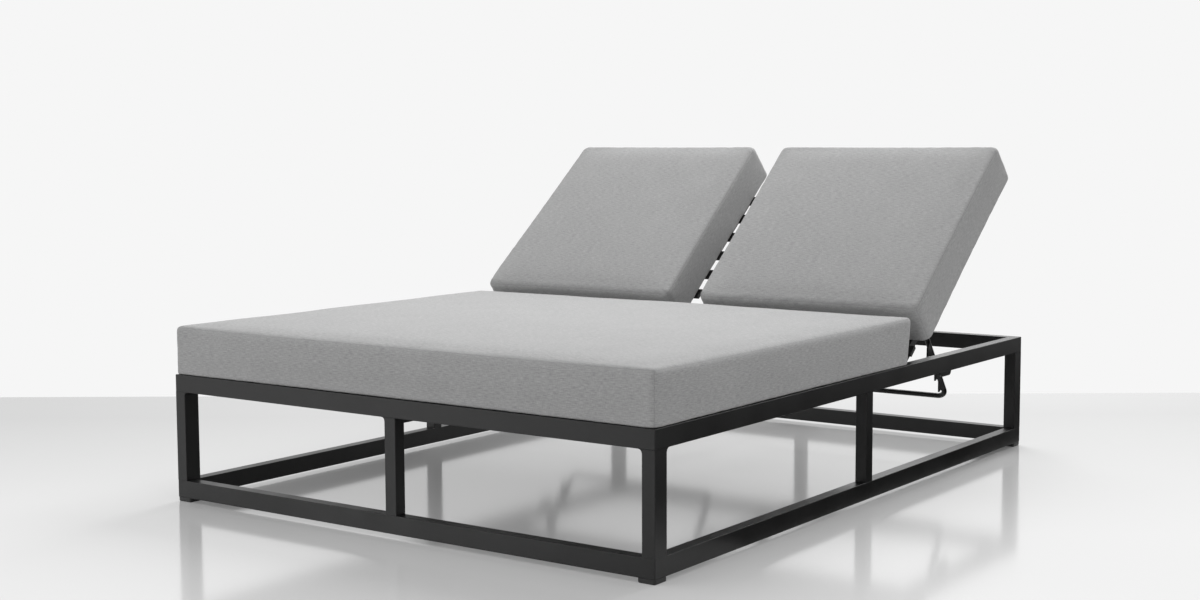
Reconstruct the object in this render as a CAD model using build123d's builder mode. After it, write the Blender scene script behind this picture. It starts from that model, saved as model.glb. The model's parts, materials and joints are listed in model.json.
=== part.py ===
from build123d import *
import math
import os

os.makedirs("parts", exist_ok=True)

# Double chaise lounger: a welded aluminium base, one wide seat cushion and two reclining backs.
# Millimetres and degrees. +X is to the right seen from the foot end, +Y points to the head end,
# +Z is up, and the origin is on the floor under the middle of the base.
# It is drawn with both backs raised to the notch that the photograph shows.

# Base frame
base_width = 1500
base_length = 2014
base_height = 334
glide_height = 11
glide_side = 46
glide_corner_radius = 5
glide_foot_chamfer = 2
rail_height = 45
rail_thickness = 32
tube_wall = 2
tube_edge_radius = 1.2
ring_corner_radius = 2
weld_radius = 9
corner_post_width = 34
corner_post_depth = 46
middle_post_width = 34
side_middle_post_y = -10

# Beams under the cushions and the seat slats
pivot_beam_rear_y = 267
seat_slat_width = 35
seat_slat_height = 15
seat_slat_wall = 1.5
seat_slat_edge_radius = 1.5
seat_slat_count = 14

# Backs: s runs up the back from the hinge, n stands square to it
recline = 38.7
hinge_y = 295
cushion_lift = 0.5
back_tube_side = 25
back_tube_drop = 0.5
back_outer_tube_inset = 60
back_inner_tube_x = 105
back_tube_foot = 16
back_tube_end = 676
back_tube_end_radius = 9
back_cap_thickness = 3
back_slat_width = 34
back_slat_height = 10
back_slat_wall = 1.5
back_slat_edge_radius = 1.5
back_slat_pitch = 86.9
back_slat_count = 8
first_back_slat_s = 50.6
slat_outer_inset = 38
slat_inner_x = 60
slat_cap_thickness = 2

# Hinges of the backs: a bolt through each ear, turning in a bush in the side tube
running_clearance = 0.05
axial_clearance = 0.4
hinge_bolt_radius = 5
hinge_bolt_flats = 16
hinge_bolt_head_height = 6.4
hinge_nut_height = 8
hinge_bush_radius = 7
hinge_ear_thickness = 5
hinge_ear_radius = 15
hinge_gap = 2
bolt_tail = 1.5
washer_radius = 9

# Stays: a bent rod on each back, with a notched plate along each leg
stay_s = 194
stay_drop = 24
stay_lean = 91.6
rod_radius = 7.5
outer_leg_inset = 76
inner_leg_x = 121
stay_length = 280
stay_bend_radius = 26
eye_radius = 10
eye_width = 11
lug_thickness = 3
lug_radius = 11.5
stay_bolt_radius = 4
stay_bolt_flats = 13
stay_bolt_head_height = 5.3
stay_nut_height = 6.5
plate_thickness = 5
plate_root = 4.5
plate_floor = 20
plate_tip = 38
plate_start = 62
plate_lead_in = 8
first_notch_distance = 94.6
notch_pitch = 44.7
notch_count = 4
notch_lean = 3
notch_floor_length = 18
notch_radius = 5
plate_tip_radius = 1.2
plate_tail = 8
used_notch = 1

# What the stays hook over
stud_radius = 5
stud_end_gap = 0.5
stud_bracket_thickness = 5
stud_bracket_front = 36
stud_bracket_rear = 36
stud_bracket_low = 18.5
stud_bracket_high = 41
stud_bracket_corner_radius = 15
collar_radius = 9
collar_length = 8

# Cushions
cushion_gap = 0.3
seat_cushion_rear_y = 219
seat_cushion_rear_lean = 21
seat_cushion_corner_radius = 21
seat_cushion_bottom_edge_radius = 3
back_cushion_start = 85
back_cushion_end = 796
back_cushion_inner_x = 39
back_cushion_corner_radius = 30
back_cushion_bottom_edge_radius = 6
cushion_thickness = 134
cushion_crown = 7
cushion_draw_in = 5
cushion_top_edge_radius = 12
cushion_rim_share = 0.93
cushion_rim_drop = 5

# Places worked out from the sizes above
half_width = base_width / 2
half_length = base_length / 2
low_rail_top = glide_height + rail_height
top_rail_bottom = base_height - rail_height
post_height = top_rail_bottom - low_rail_top
inner_half_width = half_width - rail_thickness
inner_half_length = half_length - rail_thickness
back_tube_top = back_tube_side / 2 - back_tube_drop
back_tube_bottom = back_tube_top - back_tube_side
back_slat_top = back_tube_top + back_slat_height
hinge_z = base_height + cushion_lift - back_slat_top
pivot_beam_y = pivot_beam_rear_y - rail_thickness / 2
back_outer_tube_x = half_width - back_outer_tube_inset
slat_outer_x = half_width - slat_outer_inset
outer_leg_x = half_width - outer_leg_inset
back_cushion_width = half_width - back_cushion_inner_x

cos_back = math.cos(math.radians(recline))
sin_back = math.sin(math.radians(recline))
up_back = Vector(0, cos_back, sin_back)
back_normal = Vector(0, -sin_back, cos_back)
cos_stay = math.cos(math.radians(recline - stay_lean))
sin_stay = math.sin(math.radians(recline - stay_lean))
down_stay = Vector(0, cos_stay, sin_stay)
stay_foot_side = Vector(0, sin_stay, -cos_stay)
hinge_centre = Vector(0, hinge_y, hinge_z)
stay_pivot = hinge_centre + up_back * stay_s - back_normal * stay_drop
stud_u = first_notch_distance + used_notch * notch_pitch + stud_radius
stud_v = plate_floor + stud_radius
stud_centre = stay_pivot + down_stay * stud_u + stay_foot_side * stud_v
side_names = ((1, "right"), (-1, "left"))


def back_profile_plane(x):
    """Side view of a back at world x: first axis up the back, second axis towards the sitter."""
    return Plane(origin=hinge_centre + Vector(x, 0, 0), x_dir=up_back, z_dir=(1, 0, 0))


def stay_profile_plane(x):
    """Side view of a stay at world x: first axis down the leg, second axis to its foot side."""
    return Plane(origin=stay_pivot + Vector(x, 0, 0), x_dir=down_stay, z_dir=(-1, 0, 0))


def side_plane(x, centre, way):
    """Plane square to X at world x, facing the given way, with its origin level with centre."""
    return Plane(origin=(x, centre.Y, centre.Z), x_dir=(0, way, 0), z_dir=(way, 0, 0))


# Rails: two rings of four mitred box tubes
def mitre_corners(name, outer_inset, inner_inset):
    """Corners in plan of one rail, between two insets from the outside of its ring."""
    corners = []
    for inset, ends in ((outer_inset, (-1, 1)), (inner_inset, (1, -1))):
        for end in ends:
            across = half_width - inset
            along = half_length - inset
            if name == "foot":
                corners.append((end * across, -along))
            elif name == "head":
                corners.append((end * across, along))
            elif name == "left":
                corners.append((-across, end * along))
            else:
                corners.append((across, end * along))
    return corners


for name in ("foot", "head", "left", "right"):
    for level, bottom in (("low", glide_height), ("top", top_rail_bottom)):
        with BuildPart() as rail:
            with BuildSketch(Plane.XY.offset(bottom)):
                with BuildLine():
                    Polyline(*mitre_corners(name, 0, rail_thickness), close=True)
                make_face()
                RectangleRounded(base_width, base_length, ring_corner_radius, mode=Mode.INTERSECT)
            extrude(amount=rail_height)
            run = Axis.X if name in ("foot", "head") else Axis.Y
            fillet(rail.edges().filter_by(run), tube_edge_radius)
            with BuildSketch(Plane.XY.offset(bottom + tube_wall)):
                with BuildLine():
                    Polyline(*mitre_corners(name, tube_wall, rail_thickness - tube_wall), close=True)
                make_face()
            extrude(amount=rail_height - 2 * tube_wall, mode=Mode.SUBTRACT)
        rail.part.label = f"{name}_{level}_rail"
        export_step(rail.part, f"parts/{name}_{level}_rail.step")


# Posts between the rings; a ground weld rounds each opening's upper corner at a corner post
def weld_bead(plane, corner, reach_out):
    """A concave fillet in the corner between a post and the rail above it."""
    with BuildSketch(plane) as bead:
        with Locations((corner[0] + reach_out * weld_radius / 2, corner[1] - weld_radius / 2)):
            Rectangle(weld_radius, weld_radius)
        with Locations((corner[0] + reach_out * weld_radius, corner[1] - weld_radius)):
            Circle(weld_radius, mode=Mode.SUBTRACT)
    extrude(bead.sketch, amount=rail_thickness / 2, both=True)


def post(centre, size, ways_x, ways_y):
    """A hollow post; ways_x and ways_y are the directions in which its welds reach."""
    rail_x = math.copysign(half_width - rail_thickness / 2, centre[0])
    rail_y = math.copysign(half_length - rail_thickness / 2, centre[1])
    foot_view = Plane(origin=(0, rail_y, 0), x_dir=(1, 0, 0), z_dir=(0, -1, 0))
    side_view = Plane(origin=(rail_x, 0, 0), x_dir=(0, 1, 0), z_dir=(1, 0, 0))
    with BuildPart() as upright:
        with BuildSketch(Plane.XY.offset(low_rail_top)):
            with Locations(centre):
                RectangleRounded(size[0], size[1], tube_edge_radius)
        extrude(amount=post_height)
        for way in ways_x:
            weld_bead(foot_view, (centre[0] + way * size[0] / 2, top_rail_bottom), way)
        for way in ways_y:
            weld_bead(side_view, (centre[1] + way * size[1] / 2, top_rail_bottom), way)
        with BuildSketch(Plane.XY.offset(low_rail_top)):
            with Locations(centre):
                Rectangle(size[0] - 2 * tube_wall, size[1] - 2 * tube_wall)
        extrude(amount=post_height, mode=Mode.SUBTRACT)
    return upright


corner_post_size = (corner_post_width, corner_post_depth)
corner_post_x = half_width - corner_post_width / 2
corner_post_y = half_length - corner_post_depth / 2
middle_rail_x = half_width - rail_thickness / 2
middle_rail_y = half_length - rail_thickness / 2
posts = {}
for end, end_name in ((-1, "foot"), (1, "head")):
    for side, side_name in side_names:
        corner = (side * corner_post_x, end * corner_post_y)
        posts[f"{end_name}_{side_name}_post"] = post(corner, corner_post_size, (-side,), (-end,))
    middle = (0, end * middle_rail_y)
    posts[f"{end_name}_middle_post"] = post(middle, (middle_post_width, rail_thickness), (), ())
for side, side_name in side_names:
    middle = (side * middle_rail_x, side_middle_post_y)
    posts[f"{side_name}_middle_post"] = post(middle, (rail_thickness, middle_post_width), (), ())
for name, upright in posts.items():
    upright.part.label = name
    export_step(upright.part, f"parts/{name}.step")

# Plastic glides under the four corners
with BuildPart() as glides:
    with BuildSketch():
        with GridLocations(base_width - glide_side, base_length - glide_side, 2, 2):
            RectangleRounded(glide_side, glide_side, glide_corner_radius)
    extrude(amount=glide_height)
    chamfer(glides.faces().filter_by(Axis.Z).group_by(Axis.Z)[0].edges(), glide_foot_chamfer)
glides.part.label = "glides"
export_step(glides.part, "parts/glides.step")

# Beam across the base that carries the hinges of both backs
beam_section_plane = Plane(
    origin=(-inner_half_width, pivot_beam_y, base_height - rail_height / 2),
    x_dir=(0, 1, 0),
    z_dir=(1, 0, 0),
)
with BuildPart() as pivot_beam:
    with BuildSketch(beam_section_plane):
        RectangleRounded(rail_thickness, rail_height, tube_edge_radius)
        Rectangle(rail_thickness - 2 * tube_wall, rail_height - 2 * tube_wall, mode=Mode.SUBTRACT)
    extrude(amount=2 * inner_half_width)
pivot_beam.part.label = "pivot_beam"
export_step(pivot_beam.part, "parts/pivot_beam.step")

# Centre beam before and behind it, lower by the thickness of a seat slat
centre_beam_top = base_height - seat_slat_height
centre_beam_z = centre_beam_top - rail_height / 2
with BuildPart() as front_centre_beam:
    with BuildSketch(Plane(origin=(0, -inner_half_length, centre_beam_z), x_dir=(-1, 0, 0), z_dir=(0, 1, 0))):
        RectangleRounded(rail_thickness, rail_height, tube_edge_radius)
        Rectangle(rail_thickness - 2 * tube_wall, rail_height - 2 * tube_wall, mode=Mode.SUBTRACT)
    extrude(amount=inner_half_length + pivot_beam_rear_y - rail_thickness)
front_centre_beam.part.label = "front_centre_beam"
export_step(front_centre_beam.part, "parts/front_centre_beam.step")

stud_rod_plane = side_plane(-rail_thickness, stud_centre, 1)
with BuildPart() as rear_centre_beam:
    with BuildSketch(Plane(origin=(0, pivot_beam_rear_y, centre_beam_z), x_dir=(-1, 0, 0), z_dir=(0, 1, 0))):
        RectangleRounded(rail_thickness, rail_height, tube_edge_radius)
        Rectangle(rail_thickness - 2 * tube_wall, rail_height - 2 * tube_wall, mode=Mode.SUBTRACT)
    extrude(amount=inner_half_length - pivot_beam_rear_y)
    with BuildSketch(stud_rod_plane):
        Circle(stud_radius)
    extrude(amount=2 * rail_thickness, mode=Mode.SUBTRACT)
rear_centre_beam.part.label = "rear_centre_beam"
export_step(rear_centre_beam.part, "parts/rear_centre_beam.step")

# Seat slats, evenly spaced between the foot rail and the hinge beam
seat_bay_start = -inner_half_length
seat_bay_end = pivot_beam_rear_y - rail_thickness
seat_slat_pitch = (seat_bay_end - seat_bay_start) / seat_slat_count
seat_slat_plane = Plane(
    origin=(-inner_half_width, (seat_bay_start + seat_bay_end) / 2, base_height - seat_slat_height / 2),
    x_dir=(0, 1, 0),
    z_dir=(1, 0, 0),
)
seat_slat_hollow = (seat_slat_width - 2 * seat_slat_wall, seat_slat_height - 2 * seat_slat_wall)
with BuildPart() as seat_slats:
    with BuildSketch(seat_slat_plane):
        with GridLocations(seat_slat_pitch, 0, seat_slat_count, 1):
            RectangleRounded(seat_slat_width, seat_slat_height, seat_slat_edge_radius)
        with GridLocations(seat_slat_pitch, 0, seat_slat_count, 1):
            Rectangle(seat_slat_hollow[0], seat_slat_hollow[1], mode=Mode.SUBTRACT)
    extrude(amount=2 * inner_half_width)
seat_slats.part.label = "seat_slats"
export_step(seat_slats.part, "parts/seat_slats.step")

# Hinge ears on the rear face of the hinge beam, just outside each side tube.
# Each ear is given by the x of its face next to the tube and the way it extends from there.
ears = []
for side, side_name in side_names:
    ears.append((side * (back_outer_tube_x + hinge_gap), side))
    ears.append((side * (back_inner_tube_x - hinge_gap), -side))
hinge_hole_radius = hinge_bolt_radius + running_clearance
ear_reach = hinge_y - pivot_beam_rear_y
with BuildPart() as hinge_ears:
    for face_x, way in ears:
        with BuildSketch(side_plane(face_x, hinge_centre, way)):
            Circle(hinge_ear_radius)
            with Locations((-way * ear_reach / 2, 0)):
                Rectangle(ear_reach, 2 * hinge_ear_radius)
            Circle(hinge_bolt_radius, mode=Mode.SUBTRACT)
        extrude(amount=hinge_ear_thickness)
hinge_ears.part.label = "hinge_ears"
export_step(hinge_ears.part, "parts/hinge_ears.step")

# Hinge bolts with their nuts and washers
washer_thickness = hinge_gap - axial_clearance
grip = hinge_ear_thickness + hinge_gap + back_tube_side + axial_clearance
with BuildPart() as hinge_bolts:
    for face_x, way in ears:
        head_plane = side_plane(face_x + way * hinge_ear_thickness, hinge_centre, way)
        with BuildSketch(head_plane):
            RegularPolygon(hinge_bolt_flats / 2, 6, major_radius=False)
        extrude(amount=hinge_bolt_head_height)
        with BuildSketch(head_plane):
            Circle(hinge_bolt_radius)
        extrude(amount=-(grip + hinge_nut_height + bolt_tail))
hinge_bolts.part.label = "hinge_bolts"
export_step(hinge_bolts.part, "parts/hinge_bolts.step")

with BuildPart() as hinge_nuts:
    for face_x, way in ears:
        nut_x = face_x + way * (hinge_ear_thickness - grip)
        with BuildSketch(side_plane(nut_x, hinge_centre, -way)):
            RegularPolygon(hinge_bolt_flats / 2, 6, major_radius=False)
            Circle(hinge_bolt_radius, mode=Mode.SUBTRACT)
        extrude(amount=hinge_nut_height)
hinge_nuts.part.label = "hinge_nuts"
export_step(hinge_nuts.part, "parts/hinge_nuts.step")

with BuildPart() as hinge_washers:
    for face_x, way in ears:
        with BuildSketch(side_plane(face_x, hinge_centre, -way)):
            Circle(washer_radius)
            Circle(hinge_bolt_radius, mode=Mode.SUBTRACT)
        extrude(amount=washer_thickness)
hinge_washers.part.label = "hinge_washers"
export_step(hinge_washers.part, "parts/hinge_washers.step")

# Studs that the stays hook over: one on a bracket inside each side rail, one rod in the middle
stay_plate_outer_x = outer_leg_x + rod_radius
stay_plate_inner_x = inner_leg_x - rod_radius
outer_stud_end = stay_plate_outer_x + stud_end_gap
inner_stud_end = stay_plate_inner_x - stud_end_gap
stud_start = inner_half_width - stud_bracket_thickness
bracket_length = stud_bracket_front + stud_bracket_rear
bracket_height = stud_bracket_low + stud_bracket_high
bracket_centre = stud_centre + Vector(
    0, (stud_bracket_rear - stud_bracket_front) / 2, (stud_bracket_high - stud_bracket_low) / 2
)
for side, side_name in side_names:
    with BuildPart() as stud_bracket:
        with BuildSketch(side_plane(side * inner_half_width, bracket_centre, -side)):
            RectangleRounded(bracket_length, bracket_height, stud_bracket_corner_radius)
        extrude(amount=stud_bracket_thickness)
    stud_bracket.part.label = f"{side_name}_stud_bracket"
    export_step(stud_bracket.part, f"parts/{side_name}_stud_bracket.step")

    with BuildPart() as side_stud:
        with BuildSketch(side_plane(side * stud_start, stud_centre, -side)):
            Circle(stud_radius)
        extrude(amount=stud_start - outer_stud_end)
    side_stud.part.label = f"{side_name}_stud"
    export_step(side_stud.part, f"parts/{side_name}_stud.step")

with BuildPart() as centre_stud_rod:
    with BuildSketch(side_plane(-inner_stud_end, stud_centre, 1)):
        Circle(stud_radius)
    extrude(amount=2 * inner_stud_end)
centre_stud_rod.part.label = "centre_stud_rod"
export_step(centre_stud_rod.part, "parts/centre_stud_rod.step")

with BuildPart() as stud_rod_collars:
    for side, side_name in side_names:
        with BuildSketch(side_plane(side * rail_thickness / 2, stud_centre, side)):
            Circle(collar_radius)
            Circle(stud_radius, mode=Mode.SUBTRACT)
        extrude(amount=collar_length)
stud_rod_collars.part.label = "stud_rod_collars"
export_step(stud_rod_collars.part, "parts/stud_rod_collars.step")

# Backs: two side tubes with bushes, slats across them and caps in the open ends
back_tube_length = back_tube_foot + back_tube_end
back_tube_middle_s = (back_tube_end - back_tube_foot) / 2
back_slat_middle_s = first_back_slat_s + back_slat_pitch * (back_slat_count - 1) / 2
back_slat_middle_n = back_tube_top + back_slat_height / 2
hollow_side = back_tube_side - 2 * tube_wall
slat_hollow_width = back_slat_width - 2 * back_slat_wall
slat_hollow_height = back_slat_height - 2 * back_slat_wall
slat_run = slat_outer_x - slat_inner_x - 2 * slat_cap_thickness
for side, side_name in side_names:
    tube_faces = {"outer": back_outer_tube_x - back_tube_side, "inner": back_inner_tube_x}
    for place, near_x in tube_faces.items():
        start_x = near_x if side > 0 else -near_x - back_tube_side
        with BuildPart() as side_tube:
            with BuildSketch(back_profile_plane(start_x)):
                with Locations((back_tube_middle_s, -back_tube_drop)):
                    Rectangle(back_tube_length, back_tube_side)
            extrude(amount=back_tube_side)
            foot_edges = side_tube.edges().filter_by(Axis.X).sort_by(Axis.Y)[:2]
            fillet(foot_edges, back_tube_end_radius)
            with BuildSketch(back_profile_plane(start_x + tube_wall)):
                with Locations((back_tube_middle_s + back_tube_foot / 2, -back_tube_drop)):
                    Rectangle(back_tube_length - back_tube_foot, hollow_side)
                Circle(hinge_bush_radius, mode=Mode.SUBTRACT)
            extrude(amount=hollow_side, mode=Mode.SUBTRACT)
            with BuildSketch(back_profile_plane(start_x)):
                Circle(hinge_bush_radius)
            extrude(amount=back_tube_side, mode=Mode.SUBTRACT)
        side_tube.part.label = f"{side_name}_back_{place}_tube"
        export_step(side_tube.part, f"parts/{side_name}_back_{place}_tube.step")

    tube_starts = [near_x if side > 0 else -near_x - back_tube_side for near_x in tube_faces.values()]
    with BuildPart() as hinge_bushes:
        for start_x in tube_starts:
            with BuildSketch(back_profile_plane(start_x)):
                Circle(hinge_bush_radius)
                Circle(hinge_hole_radius, mode=Mode.SUBTRACT)
            extrude(amount=back_tube_side)
    hinge_bushes.part.label = f"{side_name}_hinge_bushes"
    export_step(hinge_bushes.part, f"parts/{side_name}_hinge_bushes.step")

    with BuildPart() as tube_caps:
        for start_x in tube_starts:
            with BuildSketch(back_profile_plane(start_x)):
                with Locations((back_tube_end + back_cap_thickness / 2, -back_tube_drop)):
                    Rectangle(back_cap_thickness, back_tube_side)
            extrude(amount=back_tube_side)
    tube_caps.part.label = f"{side_name}_back_tube_caps"
    export_step(tube_caps.part, f"parts/{side_name}_back_tube_caps.step")

    slat_start_x = side * (slat_inner_x if side > 0 else slat_outer_x) + slat_cap_thickness
    with BuildPart() as back_slats:
        with BuildSketch(back_profile_plane(slat_start_x)):
            with Locations((back_slat_middle_s, back_slat_middle_n)):
                with GridLocations(back_slat_pitch, 0, back_slat_count, 1):
                    RectangleRounded(back_slat_width, back_slat_height, back_slat_edge_radius)
                with GridLocations(back_slat_pitch, 0, back_slat_count, 1):
                    Rectangle(slat_hollow_width, slat_hollow_height, mode=Mode.SUBTRACT)
        extrude(amount=slat_run)
    back_slats.part.label = f"{side_name}_back_slats"
    export_step(back_slats.part, f"parts/{side_name}_back_slats.step")

    cap_starts = (slat_start_x - slat_cap_thickness, slat_start_x + slat_run)
    with BuildPart() as slat_caps:
        for start_x in cap_starts:
            with BuildSketch(back_profile_plane(start_x)):
                with Locations((back_slat_middle_s, back_slat_middle_n)):
                    with GridLocations(back_slat_pitch, 0, back_slat_count, 1):
                        RectangleRounded(back_slat_width, back_slat_height, back_slat_edge_radius)
            extrude(amount=slat_cap_thickness)
    slat_caps.part.label = f"{side_name}_back_slat_caps"
    export_step(slat_caps.part, f"parts/{side_name}_back_slat_caps.step")

# Lugs under the side tubes, and the bolts that the stays turn on
legs = []
for side, side_name in side_names:
    legs.append((side, side * outer_leg_x, side))
    legs.append((side, side * inner_leg_x, -side))
lug_gap = eye_width + 2 * axial_clearance
lug_rise = stay_drop + back_tube_bottom
stay_hole_radius = stay_bolt_radius + running_clearance
stay_grip = lug_gap + 2 * lug_thickness
for side, side_name in side_names:
    own_legs = [(x, way) for leg_side, x, way in legs if leg_side == side]
    with BuildPart() as stay_lugs:
        for x, way in own_legs:
            for lug_x in (x - lug_gap / 2 - lug_thickness, x + lug_gap / 2):
                with BuildSketch(back_profile_plane(lug_x)):
                    with Locations((stay_s, -stay_drop)):
                        Circle(lug_radius)
                    with Locations((stay_s, -stay_drop + lug_rise / 2)):
                        Rectangle(2 * lug_radius, lug_rise)
                    with Locations((stay_s, back_tube_bottom + lug_radius)):
                        Rectangle(2 * lug_radius, 2 * lug_radius, mode=Mode.SUBTRACT)
                    with Locations((stay_s, -stay_drop)):
                        Circle(stay_bolt_radius, mode=Mode.SUBTRACT)
                extrude(amount=lug_thickness)
    stay_lugs.part.label = f"{side_name}_stay_lugs"
    export_step(stay_lugs.part, f"parts/{side_name}_stay_lugs.step")

    with BuildPart() as stay_bolts:
        for x, way in own_legs:
            head_plane = side_plane(x + way * stay_grip / 2, stay_pivot, way)
            with BuildSketch(head_plane):
                RegularPolygon(stay_bolt_flats / 2, 6, major_radius=False)
            extrude(amount=stay_bolt_head_height)
            with BuildSketch(head_plane):
                Circle(stay_bolt_radius)
            extrude(amount=-(stay_grip + stay_nut_height + bolt_tail))
    stay_bolts.part.label = f"{side_name}_stay_bolts"
    export_step(stay_bolts.part, f"parts/{side_name}_stay_bolts.step")

    with BuildPart() as stay_nuts:
        for x, way in own_legs:
            with BuildSketch(side_plane(x - way * stay_grip / 2, stay_pivot, -way)):
                RegularPolygon(stay_bolt_flats / 2, 6, major_radius=False)
                Circle(stay_bolt_radius, mode=Mode.SUBTRACT)
            extrude(amount=stay_nut_height)
    stay_nuts.part.label = f"{side_name}_stay_nuts"
    export_step(stay_nuts.part, f"parts/{side_name}_stay_nuts.step")

# Stays: one bent rod with an eye at each end
rod_path_plane = Plane(origin=stay_pivot, x_dir=(1, 0, 0), z_dir=-stay_foot_side)
for side, side_name in side_names:
    section_plane = Plane(
        origin=stay_pivot + Vector(side * outer_leg_x, 0, 0), x_dir=(1, 0, 0), z_dir=down_stay
    )
    with BuildPart() as stay_rod:
        with BuildLine(rod_path_plane) as rod_path:
            FilletPolyline(
                (side * outer_leg_x, 0),
                (side * outer_leg_x, stay_length),
                (side * inner_leg_x, stay_length),
                (side * inner_leg_x, 0),
                radius=stay_bend_radius,
            )
        with BuildSketch(section_plane):
            Circle(rod_radius)
        sweep(path=rod_path.line)
        for x in (side * outer_leg_x, side * inner_leg_x):
            with BuildSketch(stay_profile_plane(x)) as eye:
                Circle(eye_radius)
            extrude(amount=eye_width / 2, both=True)
            for cheek_way in (-1, 1):
                with BuildSketch(side_plane(x + cheek_way * eye_width / 2, stay_pivot, cheek_way)):
                    Circle(eye_radius + lug_radius)
                    Circle(lug_radius, mode=Mode.SUBTRACT)
                    Circle(lug_radius)
                extrude(amount=rod_radius, mode=Mode.SUBTRACT)
            with BuildSketch(stay_profile_plane(x)):
                Circle(stay_hole_radius)
            extrude(amount=eye_width, both=True, mode=Mode.SUBTRACT)
    stay_rod.part.label = f"{side_name}_stay_rod"
    export_step(stay_rod.part, f"parts/{side_name}_stay_rod.step")

    # Saw-toothed plates: each steep face rests on its stud, and the ramp lifts it to the next one
    outline = [(plate_start, plate_root), (plate_start + plate_lead_in, plate_floor)]
    for index in range(notch_count):
        root_u = first_notch_distance + index * notch_pitch
        outline.append((root_u - notch_lean, plate_tip))
        outline.append((root_u, plate_floor))
        if index < notch_count - 1:
            outline.append((root_u + notch_floor_length, plate_floor))
    last_root_u = first_notch_distance + (notch_count - 1) * notch_pitch
    outline.append((last_root_u + notch_floor_length / 2, plate_floor))
    outline.append((last_root_u + notch_floor_length / 2 + plate_tail, plate_root))
    with BuildPart() as notched_plates:
        for x, way in ((side * outer_leg_x, side), (side * inner_leg_x, -side)):
            face_x = x + way * (rod_radius - plate_thickness / 2)
            with BuildSketch(stay_profile_plane(face_x)) as toothed:
                with BuildLine():
                    Polyline(*outline, close=True)
                make_face()
            extrude(amount=plate_thickness / 2, both=True)
        for x in (side * outer_leg_x, side * inner_leg_x):
            rod_end_plane = Plane(origin=stay_pivot + Vector(x, 0, 0), x_dir=(1, 0, 0), z_dir=down_stay)
            with BuildSketch(rod_end_plane):
                Circle(rod_radius)
            extrude(amount=stay_length, mode=Mode.SUBTRACT)
    notched_plates.part.label = f"{side_name}_notched_plates"
    export_step(notched_plates.part, f"parts/{side_name}_notched_plates.step")


# Cushions: sides drawn in between the corners, a crowned top and rounded edges
def cushion_outline(plane, half_w, start, end, corner_radius):
    """Outline of a cushion at one level, from start to end along the plane's second axis."""
    middle = (start + end) / 2
    with BuildSketch(plane) as outline:
        with BuildLine():
            ThreePointArc((-half_w, start), (0, start + cushion_draw_in), (half_w, start))
            ThreePointArc((half_w, start), (half_w - cushion_draw_in, middle), (half_w, end))
            ThreePointArc((half_w, end), (0, end - cushion_draw_in), (-half_w, end))
            ThreePointArc((-half_w, end), (-half_w + cushion_draw_in, middle), (-half_w, start))
        outline_face = make_face()
        fillet(outline_face.vertices(), corner_radius)
    return outline.sketch


def cushion(plane, width, length, end_lean, corner_radius, bottom_radius):
    """A cushion centred on the plane's origin; its far end leans out by end_lean at the top."""
    half_w = width / 2
    half_l = length / 2
    edge_height = cushion_thickness - cushion_crown
    rim_end = half_l + end_lean * edge_height / cushion_thickness
    end_view = Plane(origin=plane.origin, x_dir=plane.x_dir, z_dir=-plane.y_dir)
    side_view = Plane(origin=plane.origin, x_dir=plane.y_dir, z_dir=plane.x_dir)
    with BuildPart() as padding:
        underside_outline = cushion_outline(plane, half_w, -half_l, half_l, corner_radius)
        if end_lean > 0:
            top_plane = plane.offset(cushion_thickness)
            top_outline = cushion_outline(top_plane, half_w, -half_l, half_l + end_lean, corner_radius)
            loft([underside_outline, top_outline], ruled=True)
        else:
            extrude(underside_outline, amount=cushion_thickness)
        for view, half_span, right_rim_at, reach in (
            (end_view, half_w, half_w, half_l + end_lean),
            (side_view, half_l, rim_end, half_w),
        ):
            left_rim = (-half_span, edge_height)
            right_rim = (right_rim_at, edge_height)
            crown_top = ((right_rim_at - half_span) / 2, cushion_thickness)
            with BuildSketch(view):
                with BuildLine():
                    Polyline(left_rim, (-half_span, 0), (half_span, 0), right_rim)
                    ThreePointArc(right_rim, crown_top, left_rim)
                make_face()
            extrude(amount=reach, both=True, mode=Mode.INTERSECT)
        upward = Axis(plane.origin, plane.z_dir)
        underside = padding.faces().filter_by(GeomType.PLANE).filter_by(upward).sort_by(upward)[0]
        fillet(underside.edges(), bottom_radius)
        rim = []
        for edge in padding.edges():
            at = plane.to_local_coords(edge.center())
            far_end = half_l + end_lean * at.Z / cushion_thickness
            across = abs(at.X) / half_w
            along = max(-at.Y / half_l, at.Y / far_end)
            if max(across, along) > cushion_rim_share and at.Z > edge_height - cushion_rim_drop:
                rim.append(edge)
        fillet(rim, cushion_top_edge_radius)
    return padding


seat_cushion = cushion(
    Plane.XY.move(Location((0, (seat_cushion_rear_y - half_length) / 2, base_height + cushion_gap))),
    base_width,
    half_length + seat_cushion_rear_y,
    seat_cushion_rear_lean,
    seat_cushion_corner_radius,
    seat_cushion_bottom_edge_radius,
)
seat_cushion.part.label = "seat_cushion"
export_step(seat_cushion.part, "parts/seat_cushion.step")

back_cushion_middle_s = (back_cushion_start + back_cushion_end) / 2
back_cushion_x = half_width - back_cushion_width / 2
for side, side_name in side_names:
    lifted = hinge_centre + up_back * back_cushion_middle_s + back_normal * back_slat_top
    back_cushion = cushion(
        Plane(origin=lifted + Vector(side * back_cushion_x, 0, 0), x_dir=(1, 0, 0), z_dir=back_normal),
        back_cushion_width,
        back_cushion_end - back_cushion_start,
        0,
        back_cushion_corner_radius,
        back_cushion_bottom_edge_radius,
    )
    back_cushion.part.label = f"{side_name}_back_cushion"
    export_step(back_cushion.part, f"parts/{side_name}_back_cushion.step")
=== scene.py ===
import bpy
import bmesh
import json
import math
import numpy as np
from mathutils import Matrix, Vector
from mathutils.bvhtree import BVHTree


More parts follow.
